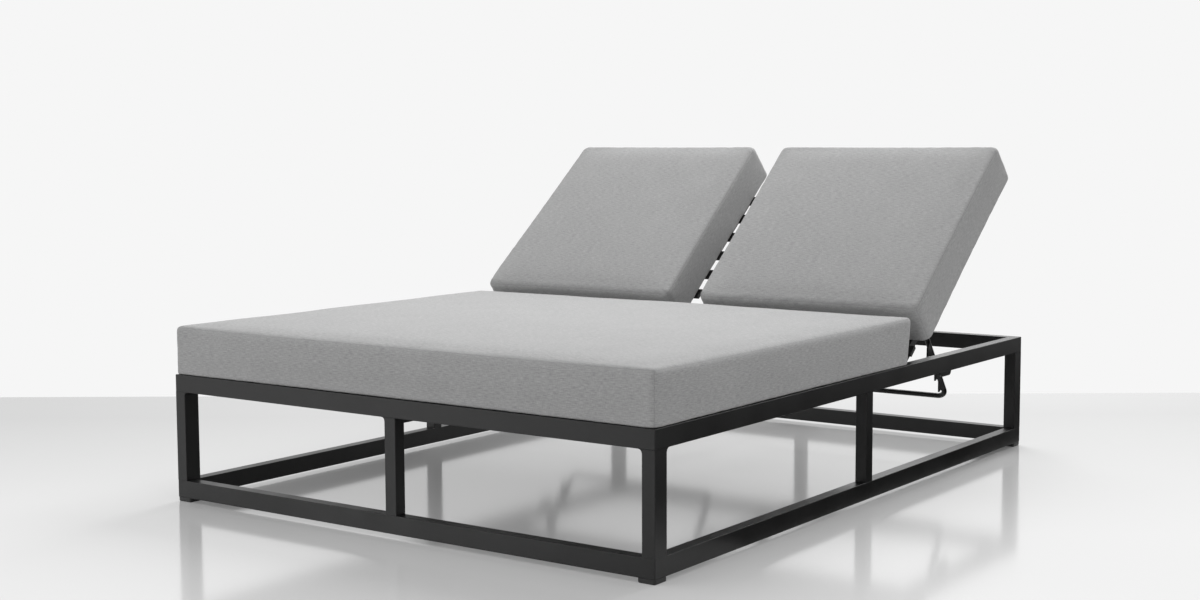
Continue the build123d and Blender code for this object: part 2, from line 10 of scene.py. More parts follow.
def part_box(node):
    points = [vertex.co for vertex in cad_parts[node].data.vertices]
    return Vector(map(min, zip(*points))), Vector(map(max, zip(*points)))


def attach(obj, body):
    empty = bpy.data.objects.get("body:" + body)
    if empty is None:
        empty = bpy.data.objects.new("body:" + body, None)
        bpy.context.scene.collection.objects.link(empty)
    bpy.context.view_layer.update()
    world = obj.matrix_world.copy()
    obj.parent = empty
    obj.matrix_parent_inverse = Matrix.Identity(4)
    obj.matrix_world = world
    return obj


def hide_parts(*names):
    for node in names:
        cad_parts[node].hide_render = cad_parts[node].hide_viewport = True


# Looks of a double chaise lounger: black powder-coated aluminium under grey woven outdoor cushions.
# Metres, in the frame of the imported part: +X right, +Y to the head end, +Z up, floor at z = 0.

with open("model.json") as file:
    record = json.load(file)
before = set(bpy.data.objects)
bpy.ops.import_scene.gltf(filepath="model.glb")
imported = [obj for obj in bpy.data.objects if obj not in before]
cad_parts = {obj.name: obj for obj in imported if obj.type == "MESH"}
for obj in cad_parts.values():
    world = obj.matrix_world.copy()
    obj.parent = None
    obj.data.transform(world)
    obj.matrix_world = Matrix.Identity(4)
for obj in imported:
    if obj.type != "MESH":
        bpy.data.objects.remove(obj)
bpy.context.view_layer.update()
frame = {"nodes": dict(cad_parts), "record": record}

# Places that the cushions need, the same as in the part
BASE_TOP = 0.334
CUSHION_GAP = 0.0003
HINGE = Vector((0, 0.295, 0.3125))
RECLINE = math.radians(38.7)
SLAT_TOP = 0.022
SEAT_MIDDLE_Y = -0.394
BACK_PAD_UP, BACK_PAD_ASIDE = 0.4405, 0.3945

X_AXIS, Y_AXIS, Z_AXIS = Vector((1, 0, 0)), Vector((0, 1, 0)), Vector((0, 0, 1))
UP_BACK = Vector((0, math.cos(RECLINE), math.sin(RECLINE)))
BACK_NORMAL = Vector((0, -math.sin(RECLINE), math.cos(RECLINE)))


# Colours, nodes and pieces

def srgb(hex_code):
    """An sRGB hex colour as the linear colour that a shader wants."""
    channels = [int(hex_code[i:i + 2], 16) / 255 for i in (1, 3, 5)]
    linear = [c / 12.92 if c <= 0.04045 else ((c + 0.055) / 1.055) ** 2.4 for c in channels]
    return (*linear, 1.0)


def add_node(tree, kind, settings=None, values=None, links=None):
    """Adds one node, sets its properties and socket values, and links sources into it."""
    node = tree.nodes.new(kind)
    for key, value in (settings or {}).items():
        setattr(node, key, value)
    for key, value in (values or {}).items():
        node.inputs[key].default_value = value
    for key, source in (links or {}).items():
        tree.links.new(source, node.inputs[key])
    return node


def new_material(name):
    """A material with an empty node tree."""
    material = bpy.data.materials.new(name)
    material.use_nodes = True
    material.node_tree.nodes.clear()
    return material, material.node_tree


def set_ramp(node, stops):
    """Gives a colour ramp its stops: (position, colour) in order."""
    ramp = node.color_ramp
    while len(ramp.elements) > len(stops):
        ramp.elements.remove(ramp.elements[-1])
    while len(ramp.elements) < len(stops):
        ramp.elements.new(1.0)
    for element, (position, colour) in zip(ramp.elements, stops):
        element.position = position
        element.color = colour


def link_piece(name, data, finish=None):
    """Puts a mesh, a lamp or a camera in the scene under one name."""
    if finish:
        data.materials.append(finish)
    piece = bpy.data.objects.new(name, data)
    bpy.context.scene.collection.objects.link(piece)
    return piece


def settle(piece, body):
    """The piece rides on a body of the part."""
    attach(piece, body)


def closed_mesh(work, name):
    """Turns a bmesh into a mesh with every face outwards."""
    bmesh.ops.recalc_face_normals(work, faces=work.faces)
    mesh = bpy.data.meshes.new(name)
    work.to_mesh(mesh)
    work.free()
    return mesh


def shade_smooth(mesh):
    mesh.polygons.foreach_set("use_smooth", np.ones(len(mesh.polygons), bool))


def apply_modifiers(piece):
    """Replaces a piece's mesh with what its modifiers make of it, and removes them."""
    graph = bpy.context.evaluated_depsgraph_get()
    finished = bpy.data.meshes.new_from_object(piece.evaluated_get(graph))
    piece.modifiers.clear()
    old = piece.data
    piece.data = finished
    bpy.data.meshes.remove(old)


# Materials

def powder_coated_aluminium():
    """Black polyester powder on aluminium tube: satin, with a fine orange peel and a few dulled patches."""
    material, tree = new_material("powder_coated_aluminium")
    place = add_node(tree, "ShaderNodeTexCoord").outputs["Object"]
    peel = add_node(tree, "ShaderNodeTexNoise", values={"Scale": 900.0, "Detail": 3.0, "Roughness": 0.55},
        links={"Vector": place})
    cloud = add_node(tree, "ShaderNodeTexNoise", values={"Scale": 7.0, "Detail": 4.0}, links={"Vector": place})
    tint = add_node(tree, "ShaderNodeValToRGB", links={"Fac": cloud.outputs["Fac"]})
    set_ramp(tint, [(0.3, srgb("#0e0e0e")), (0.7, srgb("#121212"))])
    sheen = add_node(tree, "ShaderNodeMapRange",
        values={"From Min": 0.3, "From Max": 0.7, "To Min": 0.34, "To Max": 0.44},
        links={"Value": cloud.outputs["Fac"]})
    bump = add_node(tree, "ShaderNodeBump", values={"Strength": 0.12, "Distance": 0.0004},
        links={"Height": peel.outputs["Fac"]})
    shader = add_node(tree, "ShaderNodeBsdfPrincipled", values={"Specular IOR Level": 0.38}, links={
        "Base Color": tint.outputs["Color"], "Roughness": sheen.outputs["Result"], "Normal": bump.outputs["Normal"]})
    add_node(tree, "ShaderNodeOutputMaterial", links={"Surface": shader.outputs["BSDF"]})
    return material


def black_zinc_steel():
    """Black passivated steel fasteners: darker and glossier than the frame, with fine turned scratches."""
    material, tree = new_material("black_zinc_steel")
    place = add_node(tree, "ShaderNodeTexCoord").outputs["Object"]
    stretch = add_node(tree, "ShaderNodeMapping", values={"Scale": (1, 6, 6)}, links={"Vector": place})
    marks = add_node(tree, "ShaderNodeTexNoise", values={"Scale": 260.0, "Detail": 4.0},
        links={"Vector": stretch.outputs["Vector"]})
    tint = add_node(tree, "ShaderNodeValToRGB", links={"Fac": marks.outputs["Fac"]})
    set_ramp(tint, [(0.35, srgb("#2a2a2c")), (0.65, srgb("#3a3a3d"))])
    dull = add_node(tree, "ShaderNodeMapRange", values={"To Min": 0.28, "To Max": 0.45},
        links={"Value": marks.outputs["Fac"]})
    bump = add_node(tree, "ShaderNodeBump", values={"Strength": 0.1, "Distance": 0.0003},
        links={"Height": marks.outputs["Fac"]})
    shader = add_node(tree, "ShaderNodeBsdfPrincipled", values={"Metallic": 0.85}, links={
        "Base Color": tint.outputs["Color"], "Roughness": dull.outputs["Result"], "Normal": bump.outputs["Normal"]})
    add_node(tree, "ShaderNodeOutputMaterial", links={"Surface": shader.outputs["BSDF"]})
    return material


def turned_steel():
    """Turned and ground steel studs: mid grey, brushed round the shaft."""
    material, tree = new_material("turned_steel")
    place = add_node(tree, "ShaderNodeTexCoord").outputs["Object"]
    stretch = add_node(tree, "ShaderNodeMapping", values={"Scale": (40, 1, 1)}, links={"Vector": place})
    rings = add_node(tree, "ShaderNodeTexNoise", values={"Scale": 45.0, "Detail": 5.0},
        links={"Vector": stretch.outputs["Vector"]})
    tint = add_node(tree, "ShaderNodeValToRGB", links={"Fac": rings.outputs["Fac"]})
    set_ramp(tint, [(0.3, srgb("#7d7d7f")), (0.7, srgb("#a3a3a4"))])
    dull = add_node(tree, "ShaderNodeMapRange", values={"To Min": 0.25, "To Max": 0.42},
        links={"Value": rings.outputs["Fac"]})
    bump = add_node(tree, "ShaderNodeBump", values={"Strength": 0.15, "Distance": 0.0003},
        links={"Height": rings.outputs["Fac"]})
    shader = add_node(tree, "ShaderNodeBsdfPrincipled", values={"Metallic": 1.0}, links={
        "Base Color": tint.outputs["Color"], "Roughness": dull.outputs["Result"], "Normal": bump.outputs["Normal"]})
    add_node(tree, "ShaderNodeOutputMaterial", links={"Surface": shader.outputs["BSDF"]})
    return material


def moulded_plastic(name, dark, light, roughness):
    """Moulded polyethylene or nylon: a soft waxy sheen over a fine mould grain."""
    material, tree = new_material(name)
    place = add_node(tree, "ShaderNodeTexCoord").outputs["Object"]
    grain = add_node(tree, "ShaderNodeTexNoise", values={"Scale": 1400.0, "Detail": 2.0}, links={"Vector": place})
    scuff = add_node(tree, "ShaderNodeTexNoise", values={"Scale": 60.0, "Detail": 5.0}, links={"Vector": place})
    tint = add_node(tree, "ShaderNodeValToRGB", links={"Fac": scuff.outputs["Fac"]})
    set_ramp(tint, [(0.35, srgb(dark)), (0.7, srgb(light))])
    dull = add_node(tree, "ShaderNodeMapRange", values={"To Min": roughness - 0.06, "To Max": roughness + 0.08},
        links={"Value": scuff.outputs["Fac"]})
    bump = add_node(tree, "ShaderNodeBump", values={"Strength": 0.1, "Distance": 0.0003},
        links={"Height": grain.outputs["Fac"]})
    shader = add_node(tree, "ShaderNodeBsdfPrincipled", values={"IOR": 1.5}, links={
        "Base Color": tint.outputs["Color"], "Roughness": dull.outputs["Result"], "Normal": bump.outputs["Normal"]})
    add_node(tree, "ShaderNodeOutputMaterial", links={"Surface": shader.outputs["BSDF"]})
    return material


def woven_acrylic():
    """Solution-dyed acrylic canvas: a plain weave of light and mid grey yarns, so it looks heathered, dull and soft.
    The real threads are 0.6 mm apart; they are drawn 1.4 mm apart so that the weave shows."""
    material, tree = new_material("woven_acrylic")
    thread = 0.0014
    cloth = add_node(tree, "ShaderNodeUVMap", settings={"uv_map": "panels"}).outputs["UV"]
    parts = add_node(tree, "ShaderNodeSeparateXYZ", links={"Vector": cloth})
    strands = []
    for axis in ("X", "Y"):
        phase = add_node(tree, "ShaderNodeMath", settings={"operation": "MULTIPLY"}, values={1: math.pi / thread},
            links={0: parts.outputs[axis]})
        wave = add_node(tree, "ShaderNodeMath", settings={"operation": "SINE"}, links={0: phase.outputs[0]})
        strands.append(wave.outputs[0])
    crossing = add_node(tree, "ShaderNodeMath", settings={"operation": "MULTIPLY"},
        links={0: strands[0], 1: strands[1]})
    weft_space = add_node(tree, "ShaderNodeMapping", values={"Scale": (60, 540, 1)}, links={"Vector": cloth})
    warp_space = add_node(tree, "ShaderNodeMapping", values={"Scale": (520, 120, 1)}, links={"Vector": cloth})
    weft = add_node(tree, "ShaderNodeTexNoise", values={"Scale": 1.0, "Detail": 2.0},
        links={"Vector": weft_space.outputs["Vector"]})
    warp = add_node(tree, "ShaderNodeTexNoise", values={"Scale": 1.0, "Detail": 2.0},
        links={"Vector": warp_space.outputs["Vector"]})
    cloud = add_node(tree, "ShaderNodeTexNoise", values={"Scale": 9.0, "Detail": 3.0}, links={"Vector": cloth})
    yarns = add_node(tree, "ShaderNodeMix", settings={"data_type": "FLOAT"}, values={"Factor": 0.34},
        links={"A": weft.outputs["Fac"], "B": warp.outputs["Fac"]})
    heather = add_node(tree, "ShaderNodeMix", settings={"data_type": "FLOAT"}, values={"Factor": 0.08},
        links={"A": yarns.outputs["Result"], "B": cloud.outputs["Fac"]})
    threads = add_node(tree, "ShaderNodeMath", settings={"operation": "MULTIPLY_ADD"}, values={1: 0.07},
        links={0: crossing.outputs[0], 2: heather.outputs["Result"]})
    tint = add_node(tree, "ShaderNodeValToRGB", links={"Fac": threads.outputs[0]})
    set_ramp(tint, [(0.32, srgb("#909091")), (0.50, srgb("#a4a4a4")), (0.68, srgb("#b8b8b8"))])
    # Painted shade: within about 0.6 to 2.6 mm of a seam the cloth's colour is multiplied by #efefef, the shade in
    # the seam's crease; the same mask sinks the seam in the bump
    seam = add_node(tree, "ShaderNodeAttribute", settings={"attribute_name": "seam_distance"}).outputs["Fac"]
    seam_size = add_node(tree, "ShaderNodeMath", settings={"operation": "ABSOLUTE"}, links={0: seam})
    seam_shade_and_groove = add_node(tree, "ShaderNodeMapRange", settings={"interpolation_type": "SMOOTHSTEP"},
        values={"From Min": 0.0006, "From Max": 0.0026, "To Min": 1.0, "To Max": 0.0},
        links={"Value": seam_size.outputs[0]})
    shade = add_node(tree, "ShaderNodeMix", settings={"data_type": "RGBA", "blend_type": "MULTIPLY"},
        values={"B": srgb("#efefef")}, links={"Factor": seam_shade_and_groove.outputs["Result"], "A": tint.outputs["Color"]})
    weave_height = add_node(tree, "ShaderNodeMath", settings={"operation": "MULTIPLY_ADD"}, values={1: 0.5, 2: 0.5},
        links={0: crossing.outputs[0]})
    relief = add_node(tree, "ShaderNodeMath", settings={"operation": "ADD"},
        links={0: weave_height.outputs[0], 1: heather.outputs["Result"]})
    weave_bump = add_node(tree, "ShaderNodeBump", values={"Strength": 0.35, "Distance": 0.0005},
        links={"Height": relief.outputs[0]})
    seam_bump = add_node(tree, "ShaderNodeBump", settings={"invert": True},
        values={"Strength": 0.15, "Distance": 0.0008},
        links={"Height": seam_shade_and_groove.outputs["Result"], "Normal": weave_bump.outputs["Normal"]})
    shader = add_node(tree, "ShaderNodeBsdfPrincipled",
        values={"Roughness": 0.92, "Specular IOR Level": 0.25, "Sheen Weight": 0.12, "Sheen Roughness": 0.5},
        links={"Base Color": shade.outputs["Result"], "Normal": seam_bump.outputs["Normal"]})
    add_node(tree, "ShaderNodeOutputMaterial", links={"Surface": shader.outputs["BSDF"]})
    return material


def polyester_tape():
    """Woven polyester zip tape: dull mid grey, with ribs across it at every 1.5 mm, drawn twice as coarse as real."""
    material, tree = new_material("polyester_tape")
    place = add_node(tree, "ShaderNodeTexCoord").outputs["Object"]
    ribs = add_node(tree, "ShaderNodeTexWave", settings={"bands_direction": "X"},
        values={"Scale": 210.0, "Distortion": 0.6, "Detail": 2.0}, links={"Vector": place})
    fluff = add_node(tree, "ShaderNodeTexNoise", values={"Scale": 700.0, "Detail": 3.0}, links={"Vector": place})
    tint = add_node(tree, "ShaderNodeValToRGB", links={"Fac": fluff.outputs["Fac"]})
    set_ramp(tint, [(0.3, srgb("#6a6a6c")), (0.7, srgb("#858587"))])
    bump = add_node(tree, "ShaderNodeBump", values={"Strength": 0.4, "Distance": 0.0004},
        links={"Height": ribs.outputs["Fac"]})
    shader = add_node(tree, "ShaderNodeBsdfPrincipled", values={"Roughness": 0.85, "Sheen Weight": 0.1}, links={
        "Base Color": tint.outputs["Color"], "Normal": bump.outputs["Normal"]})
    add_node(tree, "ShaderNodeOutputMaterial", links={"Surface": shader.outputs["BSDF"]})
    return material


def bonded_thread():
    """Bonded polyester sewing thread, light grey: a slight shine and a fine twist."""
    material, tree = new_material("bonded_thread")
    place = add_node(tree, "ShaderNodeTexCoord").outputs["Object"]
    twist = add_node(tree, "ShaderNodeTexNoise", values={"Scale": 1600.0, "Detail": 2.0}, links={"Vector": place})
    tint = add_node(tree, "ShaderNodeValToRGB", links={"Fac": twist.outputs["Fac"]})
    set_ramp(tint, [(0.3, srgb("#a2a2a3")), (0.7, srgb("#c2c2c3"))])
    bump = add_node(tree, "ShaderNodeBump", values={"Strength": 0.3, "Distance": 0.0002},
        links={"Height": twist.outputs["Fac"]})
    shader = add_node(tree, "ShaderNodeBsdfPrincipled", values={"Roughness": 0.55, "Sheen Weight": 0.05}, links={
        "Base Color": tint.outputs["Color"], "Normal": bump.outputs["Normal"]})
    add_node(tree, "ShaderNodeOutputMaterial", links={"Surface": shader.outputs["BSDF"]})
    return material


finishes = {
    "powder_coat": powder_coated_aluminium(),
    "black_fastener": black_zinc_steel(),
    "bare_stud": turned_steel(),
    "black_plastic": moulded_plastic("moulded_polyethylene", "#191919", "#242424", 0.5),
    "bush_plastic": moulded_plastic("natural_nylon", "#c9c6bd", "#d8d6ce", 0.4),
    "cushion_fabric": woven_acrylic(),
    "zip_tape": polyester_tape(),
    "sewing_thread": bonded_thread(),
}
for row in frame["record"]["subparts"]:
    node = frame["nodes"][row["node"]]
    node.data.materials.clear()
    node.data.materials.append(finishes[row["material_slot"]])


# Weld

def middle_post_weld():
    """The one fillet weld left showing on the foot end's middle post, between its left face and the top rail."""
    (low_x, low_y, _), (_, high_y, _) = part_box("foot_middle_post")
    rail_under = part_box("foot_top_rail")[0][2]
    radius, bite, front_step = 0.009, 0.0006, 0.0004
    arc = [(low_x - radius + radius * math.sin(a), rail_under - radius + radius * math.cos(a))
           for a in np.linspace(0, math.pi / 2, 9)]
    inside = [(low_x + bite, rail_under - radius), (low_x + bite, rail_under + bite),
              (low_x - radius, rail_under + bite)]
    profile = arc + inside
    work = bmesh.new()
    ends = [[work.verts.new((x, y, z)) for x, z in profile] for y in (low_y + front_step, high_y - front_step)]
    for i in range(len(profile)):
        j = (i + 1) % len(profile)
        work.faces.new((ends[0][i], ends[0][j], ends[1][j], ends[1][i]))
    for ring in ends:
        work.faces.new(ring)
    weld = link_piece("middle_post_weld", closed_mesh(work, "middle_post_weld"), finishes["powder_coat"])
    settle(weld, "base")


middle_post_weld()


# Cushions

FINE_ROW, COARSE_ROW = 0.006, 0.018  # spacing of the mesh at the seams and in the middle of a panel
HELD_AT_SEAM = 0.06  # the cloth is held less and less over this distance from a seam
FAR_FROM_SEAM = 0.09  # the distance that is written where no seam is near
CREASE, GATHER = 0.004, 0.022  # how far from a seam it is drawn in, and how far it puckers
BOTTOM_RADIUS = 0.004
BOX_NOTES = ("box_x", "box_y", "box_z")  # carried through the subdivision, then removed


def smooth_noise(points, scale, seed):
    """Soft value noise from a few seeded waves, between about -1 and 1, at points in metres."""
    rng = np.random.default_rng(seed)
    total = np.zeros(len(points))
    for _ in range(9):
        direction = rng.normal(size=3)
        direction /= np.linalg.norm(direction)
        total += np.sin(points @ direction * (2 * math.pi / (scale * rng.uniform(0.7, 1.5))) + rng.uniform(0, 6.3))
    return total / 3.2


def read_vectors(collection, key):
    """One row of three numbers for each item of a mesh collection."""
    flat = np.empty(len(collection) * 3, np.float32)
    collection.foreach_get(key, flat)
    return flat.reshape(-1, 3).astype(float)


def vertex_array(mesh):
    return read_vectors(mesh.vertices, "co")


def vertex_normals(mesh):
    return read_vectors(mesh.vertex_normals, "vector")


def set_vertices(mesh, points):
    mesh.vertices.foreach_set("co", points.astype(np.float32).ravel())
    mesh.update()


def rows_across(length):
    """Places of the mesh's rows across one side of a panel: close together at its seams, wider apart between them."""
    steps = [FINE_ROW] * 6
    while steps[-1] * 1.3 < COARSE_ROW:
        steps.append(steps[-1] * 1.3)
    edge = np.cumsum(steps)
    if 2 * edge[-1] > 0.8 * length:
        return np.linspace(0, length, max(round(length / FINE_ROW), 2) + 1)
    between = length - 2 * edge[-1]
    middle = np.linspace(edge[-1], length - edge[-1], max(round(between / COARSE_ROW), 1) + 1)
    return np.concatenate([[0], edge[:-1], middle, (length - edge[:-1])[::-1], [length]])


class BoxCushion:
    """Sizes of one sewn box cushion in its own axes: across, along and out from the frame, in metres.
    The shifts tell how far its worn form stands from a square box: at the top of its start and end walls,
    and on its inner side at (start low, start high, end low, end high). The inner side is at -1, 1, or 0 for none.
    The top rim is rounder by soft_rim between the corners, and by soft_start along the start wall."""

    def __init__(self, half_w, half_l, plan_radius, start_shift, end_shift, inner=0, inner_shifts=(0, 0, 0, 0),
                 soft_rim=0.0, soft_start=0.0):
        self.half_w, self.half_l = half_w, half_l
        self.edge_height, self.crown = 0.127, 0.007
        self.plan_radius, self.rim_radius, self.draw_in = plan_radius, 0.012, 0.003
        self.start_shift, self.end_shift = start_shift, end_shift
        self.inner, self.inner_shifts = inner, inner_shifts
        self.soft_rim, self.soft_start = soft_rim, soft_start

    def panels(self):
        """Grid points of a plain box and its quads, one grid for each of the six panels, welded."""
        rows = [rows_across(size) for size in (2 * self.half_w, 2 * self.half_l, self.edge_height)]
        steps = [len(places) - 1 for places in rows]
        index, points, quads, facing = {}, [], [], []
        for axis in range(3):
            u, v = [a for a in range(3) if a != axis]
            for end in (0, 1):
                for i in range(steps[u]):
                    for j in range(steps[v]):
                        corners = []
                        for di, dj in ((0, 0), (1, 0), (1, 1), (0, 1)):
                            key = [0, 0, 0]
                            key[axis], key[u], key[v] = end * steps[axis], i + di, j + dj
                            key = tuple(key)
                            if key not in index:
                                index[key] = len(points)
                                points.append([rows[a][key[a]] for a in range(3)])
                            corners.append(index[key])
                        outwards = (end == 1) != (axis == 1)
                        quads.append(corners if outwards else corners[::-1])
                        facing.append(axis)
        points = np.array(points) - np.array([self.half_w, self.half_l, 0])
        return points, quads, np.array(facing)

    def seam_distances(self, box):
        """Distance from the top rim, the bottom rim and the upright corner seams, with a sign, and then the depth
        under the nearest side wall, the depth under the top, and the depth under the farther pair of side walls."""
        depth_x = self.half_w - np.abs(box[:, 0])
        depth_y = self.half_l - np.abs(box[:, 1])
        side = np.minimum(depth_x, depth_y)
        top = self.edge_height - box[:, 2]
        return top - side, box[:, 2] - side, depth_x - depth_y, side, top, np.maximum(depth_x, depth_y)

    def worn_form(self, box):
        """Turns points of the plain box into the cushion's form."""
        p = box.copy()
        _, _, corner, depth, _, far = self.seam_distances(box)
        rounding = self.rim_radius + self.soft_rim * np.clip(far / 0.25, 0, 1) ** 0.5
        rounding = rounding + self.soft_start * np.exp(-((box[:, 1] + self.half_l) / 0.05) ** 2)
        inset = np.array([self.half_w, self.half_l]) - self.plan_radius
        # Upright corners: the square arm from the inset core becomes a round one
        core = np.clip(p[:, :2], -inset, inset)
        arm = p[:, :2] - core
        longest, length = np.abs(arm).max(axis=1), np.linalg.norm(arm, axis=1)
        arm *= np.where(length > 1e-9, longest / np.maximum(length, 1e-9), 1)[:, None]
        reach = np.linalg.norm(arm, axis=1)
        nearest = np.stack([corner < 0, corner >= 0], axis=1) * np.sign(box[:, :2])
        outward = np.where(reach[:, None] > 1e-9, arm / np.maximum(reach, 1e-9)[:, None], nearest)
        p[:, :2] = core + arm
        # Top and bottom rims
        for level, way, radius in ((self.edge_height, 1, rounding), (0.0, -1, BOTTOM_RADIUS)):
            side = radius - depth
            rise = way * (p[:, 2] - level) + radius
            near = (side > 0) & (rise > 0)
            longest, length = np.maximum(side, rise), np.hypot(side, rise)
            pull = np.where(near, 1 - longest / np.maximum(length, 1e-9), 0)
            p[:, :2] -= outward * (side * pull)[:, None]
            p[:, 2] -= way * rise * pull
        # Crown, walls drawn in between the corners, and the shifts
        across, along, up = p[:, 0] / self.half_w, p[:, 1] / self.half_l, p[:, 2] / self.edge_height
        bulge_x, bulge_y = np.clip(1 - across ** 2, 0, 1), np.clip(1 - along ** 2, 0, 1)
        p[:, 2] += self.crown * np.clip(up, 0, 1) ** 2 * (bulge_x * bulge_y) ** 0.5
        p[:, 0] -= self.draw_in * across ** 5 * bulge_y
        p[:, 1] -= self.draw_in * along ** 5 * bulge_x
        to_end = (along + 1) / 2
        p[:, 1] += (self.start_shift * (1 - to_end) + self.end_shift * to_end) * up
        from_outer = (1 + self.inner * across) / 2
        low_start, high_start, low_end, high_end = self.inner_shifts
        low = low_start * (1 - to_end) + low_end * to_end
        high = high_start * (1 - to_end) + high_end * to_end
        p[:, 0] += from_outer * (low * (1 - up) + high * up)
        return p


def swell_between_seams(piece, free, swell):
    """Where the points of a cover come to lie when the foam's pressure swells it between its seams, which
    hold. No point moves much further than the swell."""
    rest = vertex_array(piece.data)
    held = piece.vertex_groups.new(name="seams")
    for level in range(1, 11):
        chosen = np.nonzero(np.round((1 - free) * 10).astype(int) == level)[0]
        if len(chosen):
            held.add(chosen.tolist(), level / 10, "REPLACE")
    cloth = piece.modifiers.new("stuffing", "CLOTH")
    settings = cloth.settings
    settings.use_pressure = True
    settings.uniform_pressure_force = 4.0
    settings.tension_stiffness = 18
    settings.compression_stiffness = 18
    settings.shear_stiffness = 8
    settings.bending_stiffness = 1.5
    settings.vertex_group_mass = "seams"
    settings.effector_weights.gravity = 0
    cloth.collision_settings.use_collision = False
    for step in range(1, 21):
        bpy.context.scene.frame_set(step)
    apply_modifiers(piece)
    bpy.context.scene.frame_set(1)
    moved = vertex_array(piece.data) - rest
    size = np.linalg.norm(moved, axis=1)
    return rest + moved * (swell * np.tanh(size / swell) / np.maximum(size, 1e-9))[:, None]


def take_box_places(mesh):
    """Reads back where each point of the finer mesh lies on the plain box, and removes that note from it."""
    box = np.empty((len(mesh.vertices), 3), np.float32)
    for axis, axis_name in enumerate(BOX_NOTES):
        column = np.empty(len(mesh.vertices), np.float32)
        mesh.attributes[axis_name].data.foreach_get("value", column)
        box[:, axis] = column
        mesh.attributes.remove(mesh.attributes[axis_name])
    return box


def crease_and_pucker(mesh, form, box, seed):
    """Seams draw the cloth in a little and gather it; between them it lies in long soft waves.
    Gives each point's distance from its nearest seam."""
    points, normals = vertex_array(mesh), vertex_normals(mesh)
    top_rim, low_rim, corner, side, _, _ = form.seam_distances(box)
    upper = box[:, 2] > form.edge_height / 2
    rim = np.where(upper, top_rim, low_rim)
    seam = np.where(np.abs(rim) < FAR_FROM_SEAM, rim, FAR_FROM_SEAM)
    corner = np.where((side < 0.004) & (np.abs(corner) < FAR_FROM_SEAM), corner, FAR_FROM_SEAM)
    seam = np.where(np.abs(corner) < np.abs(seam), corner, seam)
    crease = np.exp(-(seam / CREASE) ** 2)
    gather = np.exp(-(seam / GATHER) ** 2)
    waves = smooth_noise(points, 0.42, seed) * 0.0009 + smooth_noise(points, 0.15, seed + 1) * 0.0003
    pucker = smooth_noise(points, 0.030, seed + 2) * 0.0003 * gather
    # The backs pucker more along the rim that leans on the seat
    start_rim = np.exp(-((box[:, 1] + form.half_l) / 0.03) ** 2) * upper * (1 if form.inner else 0)
    pucker += smooth_noise(points, 0.022, seed + 3) * 0.0011 * gather * start_rim
    # Where the rim is sat soft and round the seam hardly bites
    bite = 0.0004 * (1 - 0.8 * (form.soft_rim > 0) * upper * (corner == FAR_FROM_SEAM))
    points += normals * (waves * (1 - gather) + pucker - crease * bite)[:, None]
    points[:, 2] = np.maximum(points[:, 2], 0.0)
    set_vertices(mesh, points)
    return seam


def sewn_cushion(name, body, to_place, form, swell, seed):
    """A foam cushion in a sewn cover, made in its own axes and then set in place. The seams are held
    while the panels between them swell, as in a stuffed box cushion."""
    box, quads, facing = form.panels()
    mesh = bpy.data.meshes.new(f"{name}_pad")
    mesh.from_pydata(form.worn_form(box).tolist(), [], quads)
    lay_cloth_directions(mesh, box, facing)
    for axis, axis_name in enumerate(BOX_NOTES):
        note = mesh.attributes.new(axis_name, "FLOAT", "POINT")
        note.data.foreach_set("value", box[:, axis].astype(np.float32))
    piece = link_piece(f"{name}_pad", mesh)
    _, _, _, side, top, far = form.seam_distances(box)
    rim = np.minimum(np.where(side < top, top, side), np.where(side < box[:, 2], box[:, 2], side))
    upright = np.where(side < 0.001, far, 1.0)
    free = np.clip(np.minimum(rim, upright) / HELD_AT_SEAM, 0, 1) ** 0.7
    swollen = swell_between_seams(piece, free, swell)
    set_vertices(piece.data, swollen)
    finer = piece.modifiers.new("one_more_level", "SUBSURF")
    finer.levels = finer.render_levels = 1
    apply_modifiers(piece)
    mesh = piece.data
    seam = crease_and_pucker(mesh, form, take_box_places(mesh), seed)
    mesh.attributes.new("seam_distance", "FLOAT", "POINT").data.foreach_set("value", seam.astype(np.float32))
    mesh.transform(to_place)
    mesh.materials.clear()
    mesh.materials.append(finishes["cushion_fabric"])
    shade_smooth(mesh)
    mesh.update()
    settle(piece, body)
    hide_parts(f"{name}_cushion")
    return piece


def lay_cloth_directions(mesh, box, facing):
    """The cloth's own directions as a UV map: top and bottom panels run across and along, sides run round."""
    panels = mesh.uv_layers.new(name="panels")
    loop_vertex = np.empty(len(mesh.loops), np.int32)
    mesh.loops.foreach_get("vertex_index", loop_vertex)
    loop_facing = np.repeat(facing, 4)
    where = box[loop_vertex]
    uv = np.empty((len(mesh.loops), 2))
    uv[:, 0] = np.where(loop_facing == 0, where[:, 1] + 3, where[:, 0])
    uv[:, 1] = np.where(loop_facing == 2, where[:, 1], where[:, 2] + 5)
    panels.data.foreach_set("uv", uv.astype(np.float32).ravel())


def own_axes(origin, across, along, out):
    """Matrix that takes something made in its own axes to its place."""
    matrix = Matrix((across, along, out)).transposed().to_4x4()
    matrix.translation = origin
    return matrix


seat_place = own_axes(Vector((0, SEAT_MIDDLE_Y, BASE_TOP + CUSHION_GAP)), X_AXIS, Y_AXIS, Z_AXIS)
back_middle = HINGE + UP_BACK * BACK_PAD_UP + BACK_NORMAL * SLAT_TOP
right_place = own_axes(back_middle + X_AXIS * BACK_PAD_ASIDE, X_AXIS, UP_BACK, BACK_NORMAL)
left_place = own_axes(back_middle - X_AXIS * BACK_PAD_ASIDE, X_AXIS, UP_BACK, BACK_NORMAL)

seat_form = BoxCushion(0.75, 0.613, 0.016, 0.0, 0.021, soft_rim=0.013)
right_form = BoxCushion(0.3555, 0.3555, 0.026, -0.004, -0.016, inner=-1,
                        inner_shifts=(0.006, 0.007, -0.006, -0.014), soft_start=0.009)
left_form = BoxCushion(0.3555, 0.3555, 0.026, -0.004, -0.016, inner=1,
                       inner_shifts=(-0.026, -0.014, -0.034, -0.032), soft_start=0.009)

